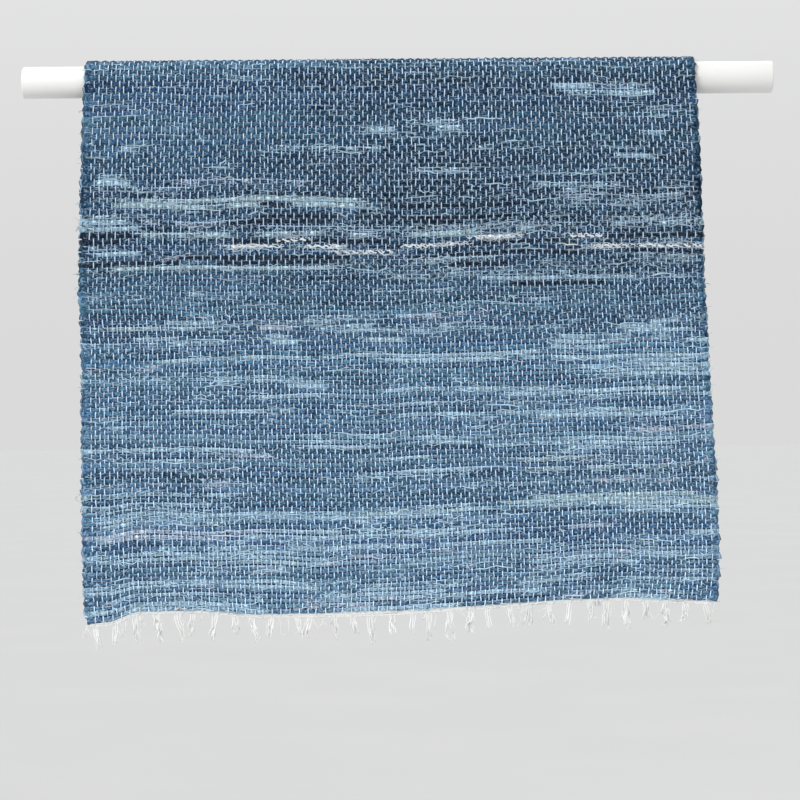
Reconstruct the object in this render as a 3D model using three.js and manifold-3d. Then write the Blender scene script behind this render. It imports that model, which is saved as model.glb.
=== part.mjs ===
// A denim rag rug hung over a round white pole, in millimetres with +Z up.
// The pole lies along X with its middle at the origin, and the rug's face looks toward -Y.
// The cloth is one sheet. A fringe of warp ends hangs from a narrow heading at each of its two hems.
import * as THREE from "three";
import { mergeVertices } from "three/addons/utils/BufferGeometryUtils.js";
import Module from "manifold-3d";

// The two drops of the cloth, by the sign of Y
const FRONT = -1;
const BACK = 1;

// Pole
const POLE_RADIUS = 17.5;
const POLE_LENGTH = 830;
const POLE_EDGE_BEVEL = 2;
const POLE_SIDES = 36;

// Rug: the sheet's thickness, its gap to the pole, and the bulge of its woven side edges
const RUG_THICKNESS = 6;
const POLE_GAP = 0.6;
const SELVAGE_BULGE = 1.5;
const RUG_COLUMNS = 26;
const DROP_ROWS = 14;
const FOLD_ROWS = 12;

// The side edges, along the cloth from the front hem (-1) over the fold (0) to the back hem (1)
const SIDE_EDGES = [
  { along: -1.0, left: -347, right: 346 },
  { along: -0.94, left: -349, right: 349 },
  { along: -0.8, left: -350, right: 347 },
  { along: -0.62, left: -350, right: 341 },
  { along: -0.5, left: -349, right: 338 },
  { along: -0.4, left: -352, right: 335 },
  { along: -0.15, left: -348, right: 331 },
  { along: 0.0, left: -343, right: 326 },
  { along: 0.3, left: -346, right: 330 },
  { along: 0.6, left: -345, right: 335 },
  { along: 0.85, left: -348, right: 338 },
  { along: 1.0, left: -346, right: 337 },
];

// The hems, across the cloth from its left edge (0) to its right edge (1), as drops below the pole's axis
const HEMS = [
  { across: 0.0, front: 598, back: 546 },
  { across: 0.04, front: 596, back: 549 },
  { across: 0.08, front: 585, back: 552 },
  { across: 0.18, front: 584, back: 553 },
  { across: 0.27, front: 590, back: 551 },
  { across: 0.4, front: 589, back: 549 },
  { across: 0.5, front: 587, back: 549 },
  { across: 0.62, front: 582, back: 552 },
  { across: 0.75, front: 576, back: 554 },
  { across: 0.86, front: 574, back: 553 },
  { across: 1.0, front: 579, back: 548 },
];

// Soft ripples of the hanging cloth: outward depth at the hem, fading to nothing at the pole
const RIPPLE_FADE = 1.3;
const RIPPLES = [
  { side: FRONT, across: 0.0, half: 0.12, depth: 6 },
  { side: FRONT, across: 0.28, half: 0.18, depth: -4 },
  { side: FRONT, across: 0.56, half: 0.16, depth: 4 },
  { side: FRONT, across: 0.8, half: 0.14, depth: -3.5 },
  { side: FRONT, across: 1.0, half: 0.1, depth: 4 },
  { side: BACK, across: 0.12, half: 0.16, depth: 4 },
  { side: BACK, across: 0.45, half: 0.2, depth: -4 },
  { side: BACK, across: 0.78, half: 0.18, depth: 5 },
];

// Fringe: the heading strip below each hem, and the locks of warp ends that hang from it
const HEADING_GAP = 0.4;
const HEADING_HEIGHT = 3.6;
const HEADING_THICKNESS = 4;
const HEADING_INSET = 0.006;
const LOCKS = 32;
const STRANDS_PER_LOCK = 3;
const STRAND_PITCH = 2.5;
const STRAND_STEPS = 4;
const STRAND_ROOT_WIDTH = 2.2;
const STRAND_TIP_WIDTH = 1.2;
const STRAND_ROOT_DEPTH = 1.8;
const LOCK_LENGTH = { least: 22, most: 36 };
const SHORTEST_STRAND_SHARE = 0.75;
const LOCK_JITTER = 3;
const LOCK_LEAN = 7;
const LOCK_SWAY = 4;
const STRAND_GATHER = 0.4;
const STRAND_KINK = 1;
const FRINGE_SEEDS = { front: 11000, back: 23000 };

const FOLD_RADIUS = POLE_RADIUS + POLE_GAP + RUG_THICKNESS / 2;

const MATERIALS = {
  denim: { color: "#5d80a1", roughness: 0.95, metalness: 0 },
  cotton: { color: "#ecebe6", roughness: 0.95, metalness: 0 },
  paint: { color: "#f2f2f0", roughness: 0.45, metalness: 0 },
};

const wasm = await Module();
wasm.setup();

// A column's value between the two table rows on either side of a place.
function lookUp(table, key, place, column) {
  const next = table.findIndex((row) => row[key] >= place);
  if (next === -1) return table.at(-1)[column];
  if (next === 0) return table[0][column];
  const [low, high] = [table[next - 1], table[next]];
  const share = (place - low[key]) / (high[key] - low[key]);
  return THREE.MathUtils.lerp(low[column], high[column], share);
}

function hemDrop(across, side) {
  return lookUp(HEMS, "across", across, side === FRONT ? "front" : "back");
}

// How far the cloth stands outward of its plain drop.
function rippleDepth(across, side, share) {
  let depth = 0;
  for (const ripple of RIPPLES) {
    const away = Math.abs(across - ripple.across) / ripple.half;
    if (ripple.side !== side || away >= 1) continue;
    depth += ripple.depth * 0.5 * (1 + Math.cos(Math.PI * away));
  }
  return depth * Math.pow(Math.min(share, 1), RIPPLE_FADE);
}

// A point of the cloth, raised off its middle layer: on the fold by its turn, below it by its drop.
function clothPoint(across, turn, drop, raise) {
  const side = Math.sign(turn) || FRONT;
  const share = drop / hemDrop(across, side);
  const along = THREE.MathUtils.clamp(side * share, -1, 1);
  const left = lookUp(SIDE_EDGES, "along", along, "left");
  const right = lookUp(SIDE_EDGES, "along", along, "right");
  const reach = FOLD_RADIUS + raise;
  const ripple = side * rippleDepth(across, side, share);
  return new THREE.Vector3(
    THREE.MathUtils.lerp(left, right, across),
    reach * Math.sin(turn) + ripple,
    reach * Math.cos(turn) - drop,
  );
}

// A closed solid through rings of like points, each listed from one end round to the other.
function loft(rings) {
  const size = rings[0].length;
  const index = [];
  const quad = (a, b, c, d) => index.push(a, b, c, a, c, d);
  for (let row = 0; row + 1 < rings.length; row += 1) {
    for (let i = 0; i < size; i += 1) {
      const next = (i + 1) % size;
      quad(row * size + i, row * size + next, (row + 1) * size + next, (row + 1) * size + i);
    }
  }
  const last = (rings.length - 1) * size;
  const cap = (a, b, c) => {
    if (a === b || b === c || c === a) return;
    index.push(a, b, c, last + a, last + c, last + b);
  };
  for (let i = 0; i < size / 2; i += 1) {
    const [near, nextNear] = [i, i + 1];
    const [far, nextFar] = [(size - i) % size, size - i - 1];
    cap(near, nextFar, nextNear);
    cap(near, far, nextFar);
  }
  const geometry = new THREE.BufferGeometry().setFromPoints(rings.flat());
  geometry.setIndex(index);
  geometry.computeVertexNormals();
  return geometry;
}

// Several closed solids that overlap, joined into one.
function join(geometries) {
  const solids = geometries.map((geometry) => {
    const bare = geometry.clone();
    bare.deleteAttribute("normal");
    const merged = mergeVertices(bare);
    return new wasm.Manifold(
      new wasm.Mesh({
        numProp: 3,
        vertProperties: new Float32Array(merged.attributes.position.array),
        triVerts: new Uint32Array(merged.index.array),
      }),
    );
  });
  const mesh = solids.reduce((whole, solid) => whole.add(solid)).getMesh();
  const geometry = new THREE.BufferGeometry();
  geometry.setAttribute("position", new THREE.BufferAttribute(mesh.vertProperties, 3));
  geometry.setIndex(new THREE.BufferAttribute(mesh.triVerts, 1));
  geometry.computeVertexNormals();
  return geometry;
}

// The sheet: rings across the cloth, from the front hem up, over the pole and down to the back hem.
function rugGeometry() {
  const quarter = Math.PI / 2;
  const rows = [];
  for (let i = DROP_ROWS; i > 0; i -= 1) rows.push({ turn: -quarter, share: i / DROP_ROWS });
  for (let i = 0; i <= FOLD_ROWS; i += 1) {
    rows.push({ turn: quarter * ((2 * i) / FOLD_ROWS - 1), share: 0 });
  }
  for (let i = 1; i <= DROP_ROWS; i += 1) rows.push({ turn: quarter, share: i / DROP_ROWS });

  const rings = rows.map(({ turn, share }) => {
    const at = (across, raise) => {
      const drop = share * hemDrop(across, Math.sign(turn) || FRONT);
      return clothPoint(across, turn, drop, raise);
    };
    const columns = Array.from({ length: RUG_COLUMNS + 1 }, (_, i) => i / RUG_COLUMNS);
    const face = columns.map((across) => at(across, RUG_THICKNESS / 2));
    const reverse = columns.map((across) => at(across, -RUG_THICKNESS / 2)).reverse();
    const leftNose = at(0, 0).add(new THREE.Vector3(-SELVAGE_BULGE, 0, 0));
    const rightNose = at(1, 0).add(new THREE.Vector3(SELVAGE_BULGE, 0, 0));
    return [leftNose, ...face, rightNose, ...reverse];
  });
  return loft(rings);
}

// The narrow strip that lies along a hem, a little apart from it.
function headingGeometry(side) {
  const turn = (side * Math.PI) / 2;
  const half = HEADING_THICKNESS / 2;
  const rings = [];
  for (let i = 0; i <= RUG_COLUMNS; i += 1) {
    const across = THREE.MathUtils.clamp(i / RUG_COLUMNS, HEADING_INSET, 1 - HEADING_INSET);
    const top = hemDrop(across, side) + HEADING_GAP;
    const bottom = top + HEADING_HEIGHT;
    const ring = [
      clothPoint(across, turn, top, half),
      clothPoint(across, turn, bottom, half),
      clothPoint(across, turn, bottom, -half),
      clothPoint(across, turn, top, -half),
    ];
    rings.push(side === FRONT ? ring : ring.reverse());
  }
  return loft(rings);
}

// One hanging warp end: a four-sided taper with a lean and a slight kink.
function strandGeometry(root, length, lean, sway, kink) {
  const rings = [];
  for (let step = 0; step <= STRAND_STEPS; step += 1) {
    const share = step / STRAND_STEPS;
    const half = THREE.MathUtils.lerp(STRAND_ROOT_WIDTH, STRAND_TIP_WIDTH, share) / 2;
    const x = root.x + lean * share + kink * Math.sin(Math.PI * 2 * share);
    const y = root.y + sway * share * share;
    const z = root.z - length * share;
    rings.push([
      new THREE.Vector3(x - half, y - half, z),
      new THREE.Vector3(x - half, y + half, z),
      new THREE.Vector3(x + half, y + half, z),
      new THREE.Vector3(x + half, y - half, z),
    ]);
  }
  return loft(rings);
}

// A hem's heading with its locks of strands, fused at their roots.
function fringeGeometry(side, seed) {
  let draws = 0;
  const random = (least, most) => {
    draws += 1;
    return THREE.MathUtils.lerp(least, most, THREE.MathUtils.seededRandom(seed + draws));
  };
  const turn = (side * Math.PI) / 2;
  const pieces = [headingGeometry(side)];
  for (let lock = 0; lock < LOCKS; lock += 1) {
    const across = (lock + 0.5) / LOCKS;
    const rootDrop = hemDrop(across, side) + HEADING_GAP + STRAND_ROOT_DEPTH;
    const middle = clothPoint(across, turn, rootDrop, 0);
    middle.x += random(-LOCK_JITTER, LOCK_JITTER);
    const lockLength = random(LOCK_LENGTH.least, LOCK_LENGTH.most);
    const lean = random(-LOCK_LEAN, LOCK_LEAN);
    const sway = random(-LOCK_SWAY, LOCK_SWAY);
    const kink = random(-STRAND_KINK, STRAND_KINK);
    for (let strand = 0; strand < STRANDS_PER_LOCK; strand += 1) {
      const offset = strand - (STRANDS_PER_LOCK - 1) / 2;
      const root = middle.clone();
      root.x += offset * STRAND_PITCH;
      const length = lockLength * random(SHORTEST_STRAND_SHARE, 1);
      pieces.push(strandGeometry(root, length, lean - offset * STRAND_GATHER, sway, kink));
    }
  }
  return join(pieces);
}

// A round bar with bevelled ends, turned about its own axis and then laid along X.
function poleGeometry() {
  const half = POLE_LENGTH / 2;
  const profile = [
    new THREE.Vector2(0, -half),
    new THREE.Vector2(POLE_RADIUS - POLE_EDGE_BEVEL, -half),
    new THREE.Vector2(POLE_RADIUS, POLE_EDGE_BEVEL - half),
    new THREE.Vector2(POLE_RADIUS, half - POLE_EDGE_BEVEL),
    new THREE.Vector2(POLE_RADIUS - POLE_EDGE_BEVEL, half),
    new THREE.Vector2(0, half),
  ];
  return new THREE.LatheGeometry(profile, POLE_SIDES);
}

function addPiece(group, name, geometry, material) {
  const mesh = new THREE.Mesh(geometry, new THREE.MeshStandardMaterial(material));
  mesh.name = name;
  group.add(mesh);
  return mesh;
}

const hungRug = new THREE.Group();
const pole = addPiece(hungRug, "pole", poleGeometry(), MATERIALS.paint);
pole.rotation.z = -Math.PI / 2;
addPiece(hungRug, "rug_cloth", rugGeometry(), MATERIALS.denim);
addPiece(hungRug, "fringe_front", fringeGeometry(FRONT, FRINGE_SEEDS.front), MATERIALS.cotton);
addPiece(hungRug, "fringe_back", fringeGeometry(BACK, FRINGE_SEEDS.back), MATERIALS.cotton);

export default hungRug;
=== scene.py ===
"""Looks of a denim rag rug hung over a white pole: woven strips, warp yarns, fringe and paint."""
import math
from collections import namedtuple

import bpy
import numpy as np
from mathutils import Matrix, Vector


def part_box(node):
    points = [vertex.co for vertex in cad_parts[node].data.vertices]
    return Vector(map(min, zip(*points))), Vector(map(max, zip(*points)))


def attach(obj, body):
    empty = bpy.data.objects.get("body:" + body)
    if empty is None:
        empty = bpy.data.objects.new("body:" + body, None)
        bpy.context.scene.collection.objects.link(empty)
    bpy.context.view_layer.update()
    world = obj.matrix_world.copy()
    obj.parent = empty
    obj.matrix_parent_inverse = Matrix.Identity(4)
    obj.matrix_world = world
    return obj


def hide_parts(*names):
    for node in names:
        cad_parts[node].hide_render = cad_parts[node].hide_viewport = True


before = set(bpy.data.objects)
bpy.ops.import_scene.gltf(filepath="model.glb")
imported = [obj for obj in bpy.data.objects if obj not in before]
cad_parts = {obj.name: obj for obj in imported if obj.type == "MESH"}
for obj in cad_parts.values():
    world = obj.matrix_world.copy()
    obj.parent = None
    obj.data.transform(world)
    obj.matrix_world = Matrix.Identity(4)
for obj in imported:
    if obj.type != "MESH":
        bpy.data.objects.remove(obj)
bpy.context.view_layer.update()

# Lengths below are millimetres in the part's frame; meshes are made in metres
MM = 0.001
FRONT, BACK = -1, 1
SIDE_NAMES = {FRONT: "front", BACK: "back"}

# Pole: its size comes from the frame
pole_low, pole_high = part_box("pole")
POLE_RADIUS = (pole_high[2] - pole_low[2]) / 2 / MM
POLE_HALF_LENGTH = (pole_high[0] - pole_low[0]) / 2 / MM
POLE_BEVEL = 2
POLE_BEVEL_RINGS = 5
POLE_ROWS = 24
POLE_SIDES = 72

# The hung cloth: the same side edges, hems and ripples as the solids
CLOTH_THICKNESS = 6
POLE_GAP = 0.6
FOLD_RADIUS = POLE_RADIUS + POLE_GAP + CLOTH_THICKNESS / 2
CLOTH_WIDTH = 700
FRONT_RUN = 584
FOLD_RUN = math.pi * FOLD_RADIUS
BACK_RUN = 551
CLOTH_RUN = FRONT_RUN + FOLD_RUN + BACK_RUN
SIDE_EDGES = {  # along the cloth from the front hem (-1) over the fold (0) to the back hem (1)
    "along": (-1.0, -0.94, -0.8, -0.62, -0.5, -0.4, -0.15, 0.0, 0.3, 0.6, 0.85, 1.0),
    "left": (-347, -349, -350, -350, -349, -352, -348, -343, -346, -345, -348, -346),
    "right": (346, 349, 347, 341, 338, 335, 331, 326, 330, 335, 338, 337),
}
HEMS = {  # across the cloth from left (0) to right (1), as drops below the pole's axis
    "across": (0.0, 0.04, 0.08, 0.18, 0.27, 0.4, 0.5, 0.62, 0.75, 0.86, 1.0),
    "front": (598, 596, 585, 584, 590, 589, 587, 582, 576, 574, 579),
    "back": (546, 549, 552, 553, 551, 549, 549, 552, 554, 553, 548),
}
HEM_TREND = {  # the drops that the picks keep to, above the last few beside the hem
    "across": (0.0, 0.5, 1.0),
    "front": (590, 587, 577),
    "back": (550, 550, 550),
}
HEM_SETTLE = 7  # power by which the last picks settle to the hem
RIPPLE_FADE = 1.3  # power by which the ripples grow toward the hem
Ripple = namedtuple("Ripple", "side across half depth")
RIPPLES = (
    Ripple(FRONT, 0.0, 0.12, 6),
    Ripple(FRONT, 0.28, 0.18, -4),
    Ripple(FRONT, 0.56, 0.16, 4),
    Ripple(FRONT, 0.8, 0.14, -3.5),
    Ripple(FRONT, 1.0, 0.1, 4),
    Ripple(BACK, 0.12, 0.16, 4),
    Ripple(BACK, 0.45, 0.2, -4),
    Ripple(BACK, 0.78, 0.18, 5),
)
# A dark sheet inside the weave: painted shade for the weave's shadowed inside, seen between the picks
SHADE_SHEET_THICKNESS = 1.6
SHADE_SHEET_INSET = 2
SHADE_SHEET_COLUMNS = 40
SHADE_SHEET_ROWS = 90

# Random curves: how far they reach, and how many samples pass between two turns
Wander = namedtuple("Wander", "reach every")
CURVE_STOP = 1.001  # a little over one knot, so that each place has a knot after it
SEED_SPAN = 100

# Denim strips, laid as picks; tables with drops go by the drop below the pole's axis
PICK_PITCH = {"drop": (0, 100, 200, 600), "pitch": (6.6, 6.3, 5.5, 5.25)}
PICK_UNEVENNESS = 0.2
PICKS_PER_PIECE = 20
PICK_WOBBLE = Wander(0.55, 14)
PICKS_ALIKE = 3
SWELL = 2.4
SWELL_EVERY_PICKS = 9
SWELL_EVERY_WARPS = 13
SWELL_FADE = 40
PICK_HALF_THICKNESS = 2.9
PICK_OVERLAP = 1.06
PICK_SIDES = 5
PICK_SHIFT = 0.3
PICK_TWIST = Wander(0.3, 12)
DENT = 0.6
CRUMPLE = 0.22
PICK_FOLD = Wander(0.6, 18)
PICK_CRUSH = Wander(0.4, 3)
SELVAGE_LEFT = 10.5
SELVAGE_RIGHT = 7.5
SELVAGE_JITTER = 0.5
SELVAGE_AWAY = (0.71, 0.4, 0.22, 0.19, 0.17)  # places of the turn, as shares of the selvage
SELVAGE_TURN = (0.0, -0.2, -0.4, 0.3, 1.0)  # steps of the turn, as shares of half a pick
SELVAGE_OVERLAP = 1.35
# How much darker the strips are where they turn at the side edges, as a share of the painted dent shade
SELVAGE_DARKENING = 0.35

# Warp yarns
YARN_SIDES = 4
WARPS = 140
WARPS_PER_PIECE = 35
WARP_UNEVENNESS = 0.3
WARP_JITTER = 0.35
WARP_SINK = 0.4
WARP_WANDER = Wander(0.8, 9)
WARP_RADIUS = 0.78
WARP_LIFT = 2.1
WARP_FLAT = 0.38
WARP_REFERENCE = (1, 0, 0)

# The heading and fringe: the solids' locks, drawn in the same order from the same seeds
HEADING_GAP = 0.4
HEADING_INSET = 5
HEADING_ROWS = (1.0, 2.7)
HEADING_STEPS = 320
HEADING_STRAND_RADIUS = 0.85
HEADING_TWIST = 0.65
HEADING_TWIST_LIFT = 0.8125
HEADING_TWIST_PITCH = 9.7
HEADING_UNEVENNESS = Wander(0.3, 20)
HEADING_REFERENCE = (0, 0, 1)
LOCKS = 32
STRANDS_PER_LOCK = 3
YARNS_PER_STRAND = 2
STRAND_PITCH = 2.5
STRAND_ROOT_DEPTH = 1.8
LOCK_LENGTH = (22, 36)
SHORTEST_STRAND_SHARE = 0.75
LOCK_JITTER = 3
LOCK_LEAN = 7
LOCK_SWAY = 4
STRAND_GATHER = 0.4
STRAND_KINK = 1
LOCK_LOOSENESS = (0.25, 1.6)
YARN_RADIUS = (0.6, 1.1)
YARN_TAPER = {"share": (0, 0.8, 1), "width": (1.0, 0.85, 0.3)}
YARN_STEPS = 15
YARN_REFERENCE = (0.6, 0, 0.8)
CURL = Wander(3.2, 4)
WISPS = 60
WISP_CROWDING = 1.6
WISP_LENGTH = (7, 26)
WISP_LEAN = 6
WISP_RADIUS = 0.5
HEM_THREADS = 80
HEM_THREAD_LENGTH = (8, 36)
HEM_THREAD_SPREAD = (-3.2, 3.6)
HEM_THREAD_WAVE = Wander(1.0, 3)
HEM_THREAD_LIFT = Wander(2.4, 4)
HEM_THREAD_RADIUS = 0.55
FRINGE_SEEDS = {FRONT: 11000, BACK: 23000}

# Frayed edges of the strips: loose threads that lie along the picks
FRAYS = 3700
FRAY_TRIES = 5  # places drawn for each thread that is kept
FRAY_SCATTER = {  # how readily threads come loose off the streaks
    "drop": (0, 120, 145, 210, 240, 600),
    "share": (0.1, 0.12, 0.4, 0.4, 0.1, 0.1),
}
FRAY_EDGE = 1.0  # how much more readily at the side edges
FRAY_STICK_OUT = 8
FRAY_STEPS = 9
FRAY_LENGTH = (6, 54)
FRAY_SHORTNESS = 2
FRAY_RADIUS = (0.2, 0.7)
FRAY_TAPER = 0.6
FRAY_LUMPS = Wander(0.6, 1.5)
FRAY_LIFT = 2.1
FRAY_LOOSE = Wander(0.5, 2)
FRAY_SHOULDER = 0.85
FRAY_SLANT = 2.2
FRAY_WAVE = {  # how far threads stray from their pick
    "drop": (0, 135, 150, 208, 225, 600),
    "reach": (1.9, 1.9, 2.8, 2.8, 2.3, 2.3),
}
FRAY_WAVE_EVERY = 2
FRAY_UNEVENNESS = 0.35
FRAY_SIDES = 3
FRAY_REFERENCE = (0, 0.6, 0.8)

# Cream threads that wind through the weave along the cream streaks
WINDING_TRACKS = (-0.3, 0.8)
WINDING_STRETCH = 70
WINDING_STEPS = 44
WINDING_DEPTH = (0.6, 1.5)
WINDING_LAG = Wander(1.3, 6)
WINDING_DRIFT = Wander(0.7, 8)
WINDING_LIFT = 2.4
WINDING_DIP = 0.6
WINDING_RADIUS = (0.35, 0.75)
WINDING_TAPER = 0.8
WINDING_TAPER_POWER = 8

# Colours of the strips as 8-bit screen values, from dark to pale
TONES = {
    "tone": (0.0, 0.25, 0.5, 0.75, 1.0),
    "red": (2, 22, 57, 100, 148),
    "green": (29, 61, 99, 140, 186),
    "blue": (53, 92, 134, 173, 211),
}
# How pale the strips are
FRONT_TONES = {
    "drop": (0, 90, 130, 165, 200, 245, 290, 333, 366, 399, 432, 465, 500, 600),
    "tone": (0.28, 0.29, 0.24, 0.14, 0.22, 0.35, 0.46, 0.57, 0.60, 0.59, 0.52, 0.51, 0.58, 0.62),
}
BACK_TONES = {
    "drop": (0, 120, 220, 300, 420, 551),
    "tone": (0.40, 0.46, 0.60, 0.42, 0.55, 0.50),
}
Patch = namedtuple("Patch", "middle drop half_width half_drop tone")
PATCHES = (
    Patch(0, 30, 150, 120, -0.13),
    Patch(60, 115, 90, 45, -0.1),
    Patch(-230, 60, 150, 120, 0.11),
    Patch(-220, 210, 140, 50, 0.2),
    Patch(280, 205, 80, 40, -0.08),
    Patch(-60, 560, 240, 70, 0.09),
)
TONE_TILT = 0.2  # how much paler the left edge is than the right, beside the pole
TONE_TILT_DROP = 260
TONE_SPREAD = 0.08
TONE_MOTTLE = Wander(0.07, 6)
CELL_MOTTLE = 0.07
HUE_SPREAD = 0.05
HUE_MOTTLE = Wander(0.05, 10)
STRIP_LENGTH = (50, 320)  # in warps
PALLOR = {  # how bright the loose threads and the warp are
    "drop": (0, 110, 150, 210, 330, 600),
    "share": (0.86, 0.86, 0.76, 0.8, 1.0, 1.16),
}
FUZZ = {  # how much pale fuzz the strips have
    "drop": (0, 120, 150, 205, 240, 330, 600),
    "share": (0.55, 0.6, 0.8, 0.8, 0.7, 0.85, 1.0),
}

# Streaks where a strip's other side or another cloth shows; later ones cover earlier ones
TINTS = {
    "pale": (173, 206, 225),
    "green": (178, 206, 212),
    "haze": (174, 200, 210),
    "cream": (228, 234, 238),
    "lavender": (190, 203, 222),
}
NAVY = (5, 17, 40)
NAVY_HIDES = 0.7
Streak = namedtuple("Streak", "left right top bottom tint")
STREAK_CHART = (  # tint; left and right from the middle, top and bottom as drops
    ("pale", (190, 300, 8, 21), (40, 80, 48, 59), (-30, 5, 54, 60), (270, 320, 62, 68)),
    ("pale", (-320, -270, 77, 85), (230, 330, 84, 92), (-330, -290, 108, 118), (165, 260, 119, 131)),
    ("green", (-320, 0, 130, 141)),
    ("haze", (200, 345, 131, 142)),
    ("navy", (-160, -100, 135, 141), (-30, 150, 139, 146), (-30, 170, 147, 152), (-170, -70, 151, 159)),
    ("navy", (-50, 0, 151, 156), (10, 90, 158, 163)),
    ("haze", (-360, -262, 148, 156), (225, 360, 154, 168)),
    ("pale", (-340, -290, 158, 166)),
    ("haze", (-160, 5, 162, 172), (40, 195, 160, 174)),
    ("green", (130, 200, 160, 165)),
    ("navy", (-375, -275, 170, 180)),
    ("green", (-275, -170, 171, 176), (15, 80, 170, 174)),
    ("navy", (190, 230, 171, 178), (240, 375, 173, 179), (-185, -90, 178, 181), (-100, 20, 175, 179)),
    ("navy", (10, 200, 184, 188), (270, 375, 187, 195), (100, 240, 190, 194)),
    ("pale", (-340, -290, 184, 194)),
    ("navy", (-230, -60, 193, 197), (-375, -230, 197, 203), (20, 180, 196, 199)),
    ("haze", (255, 365, 198, 209), (15, 120, 200, 204)),
    ("navy", (40, 160, 206, 210), (-180, -50, 200, 206)),
    ("green", (-340, -35, 207, 212)),
    ("pale", (85, 265, 217, 222)),
    ("navy", (140, 250, 223, 230)),
    ("pale", (-240, -170, 260, 277), (260, 330, 269, 285)),
    ("lavender", (-140, -90, 269, 277)),
    ("pale", (185, 240, 284, 300), (-145, -110, 284, 292), (-265, -10, 306, 313), (-10, 160, 304, 317)),
    ("pale", (160, 335, 306, 313), (220, 340, 317, 331), (-40, 100, 341, 349), (95, 175, 338, 351)),
    ("pale", (175, 340, 342, 352)),
    ("green", (-300, -260, 347, 357)),
    ("pale", (-340, -315, 361, 368), (165, 320, 362, 374), (25, 70, 397, 406), (-125, -30, 398, 406)),
    ("pale", (190, 320, 396, 411), (-340, -155, 407, 414), (-50, 25, 416, 423)),
    ("green", (125, 340, 461, 473)),
    ("pale", (250, 335, 474, 484), (-345, -280, 479, 491), (-65, -25, 479, 489), (-170, 105, 495, 510)),
    ("lavender", (-340, -170, 500, 509)),
    ("pale", (-90, 20, 511, 521), (-340, -85, 523, 531), (140, 245, 533, 543), (-195, -90, 552, 562)),
    ("pale", (-345, -215, 555, 563), (140, 240, 551, 559), (-75, 60, 562, 569), (60, 190, 566, 573)),
    ("haze", (-250, -120, 540, 546), (250, 345, 541, 547)),
    ("lavender", (-45, 25, 570, 577)),
    ("pale", (-320, -150, 580, 592), (-60, 70, 582, 592), (235, 300, 570, 580)),
    ("cream", (-176, -120, 184, 187), (-130, -90, 178, 181), (-100, -55, 184, 187), (-68, 6, 189, 192)),
    ("cream", (10, 92, 180, 183), (84, 150, 175, 178), (200, 240, 177, 180), (226, 375, 185, 188)),
)
STREAKS = [Streak(*place, tint) for tint, *places in STREAK_CHART for place in places]
STREAK_STRENGTH = (0.8, 1.35)
TINT_STRENGTH = {"cream": 0.6, "navy": 1.6, "haze": 0.62}
STREAK_PATCHES = Wander(0.45, 5)
STREAK_END_JITTER = 24
STREAK_END_SHARE = 0.35
STREAK_FEATHER = 12
STRAY_STREAKS = {  # how many a pick, and how strong at most
    "drop": (0, 200, 300, 600),
    "a_pick": (1.0, 1.2, 3.2, 5.6),
    "strongest": (0.6, 0.6, 0.95, 0.95),
}
STRAY_LENGTH = (20, 210)
STRAY_WEAKEST = 0.2
STRAY_NAVY_SHARE = 0.4
STRAY_TINTS = ("pale", "pale", "pale", "pale", "green", "lavender", "navy")

# Surfaces: bump, its depth in metres, and how light meets them
Surface = namedtuple("Surface", "bump depth roughness sheen specular")
DENIM_SURFACE = Surface(0.6, 0.0006, 0.95, 0.04, 0.05)
YARN_SURFACE = Surface(0.5, 0.0003, 0.95, 0.1, 0.15)
SHADE_SHEET_SURFACE = Surface(0.5, 0.0005, 0.95, 0.0, 0.1)
PAINT_SURFACE = Surface(0.25, 0.0003, 0.42, 0.0, 0.4)
FLOOR_SURFACE = Surface(0.05, 0.001, 0.9, 0.0, 0.0)

# Noises and ranges of the materials: a range carries low and high to two other values
Noise = namedtuple("Noise", "scale detail roughness", defaults=(0.5,))
Grain = namedtuple("Grain", "along around detail shift", defaults=(0.0,))
Range = namedtuple("Range", "low high to_low to_high")
DENIM_GRAIN_ROUGHNESS = 0.6
STRIP_GIRTH = 17
PATCH_GRAIN = Grain(0.05, 0.16, 3, 40.0)
PATCH_REACH = 1.1
FUZZ_GRAIN = Grain(0.3, 0.5, 3, 20.0)
FUZZ_REACH = 1.5
SHOULDER_RANGE = Range(0.04, 0.2, 0.62, 1.0)
SHOWN_RANGE = Range(0.35, 0.62, 0.0, 1.0)
SLUB_GRAIN = Grain(0.07, 0.6, 4)
SLUB_RANGE = Range(0.25, 0.75, 0.6, 1.35)
# Painted shade: how much darker the strips are in their dents under the warps
CREASE_SHADE = 0.85
SPECK_GRAIN = Grain(0.4, 0.6, 2, 60.0)
SPECK_RANGE = Range(0.3, 0.7, 0.4, 1.65)
# Painted shade toward each strip's sides, where neighbouring picks meet
GAP_SHADE_RANGE = Range(0.1, 0.22, 1.0, 0.38)
FLECK_GRAIN = Grain(0.35, 0.6, 3)
FLECK_RANGE = Range(0.48, 0.68, 0.0, 0.8)
FLECK_TINT = (150, 185, 214)
TWILL_WAVE = 3.4
TWILL_SHOW = 0.04
TWILL_HEIGHT = 0.35
RAW_EDGES = ((0.33, 7.0), (0.67, 31.0))  # places around a strip, and shifts of their noise
RAW_EDGE_DRIFT = 0.3
DRIFT_GRAIN = Grain(0.06, 0.0, 2)
BREAK_GRAIN = Grain(0.03, 0.0, 3)
BREAK_FUZZ = 1.2
BREAK_TURNED = 0.4
BREAK_RANGE = Range(0.4, 0.8, 0.0, 0.95)
RAW_EDGE_RANGE = Range(0.025, 0.09, 1.0, 0.0)
FRAY_TINT = (168, 199, 224)
COTTON = (246, 246, 243)
WARP_TINT = (198, 225, 249)
PLY_WAVE = 2.6
PLY_SHOW = 0.22
PLY_TINT = (196, 200, 206)
YARN_FUZZ = Noise(1.1, 3)
YARN_FUZZ_AROUND = 4
YARN_FUZZ_HEIGHT = 0.5
YARN_STAIN = Noise(1.0, 2)
YARN_STAIN_ALONG = 0.06
YARN_STAIN_LAYER = 3.0
YARN_STAIN_RANGE = Range(0.5, 0.8, 0.0, 0.35)
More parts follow.
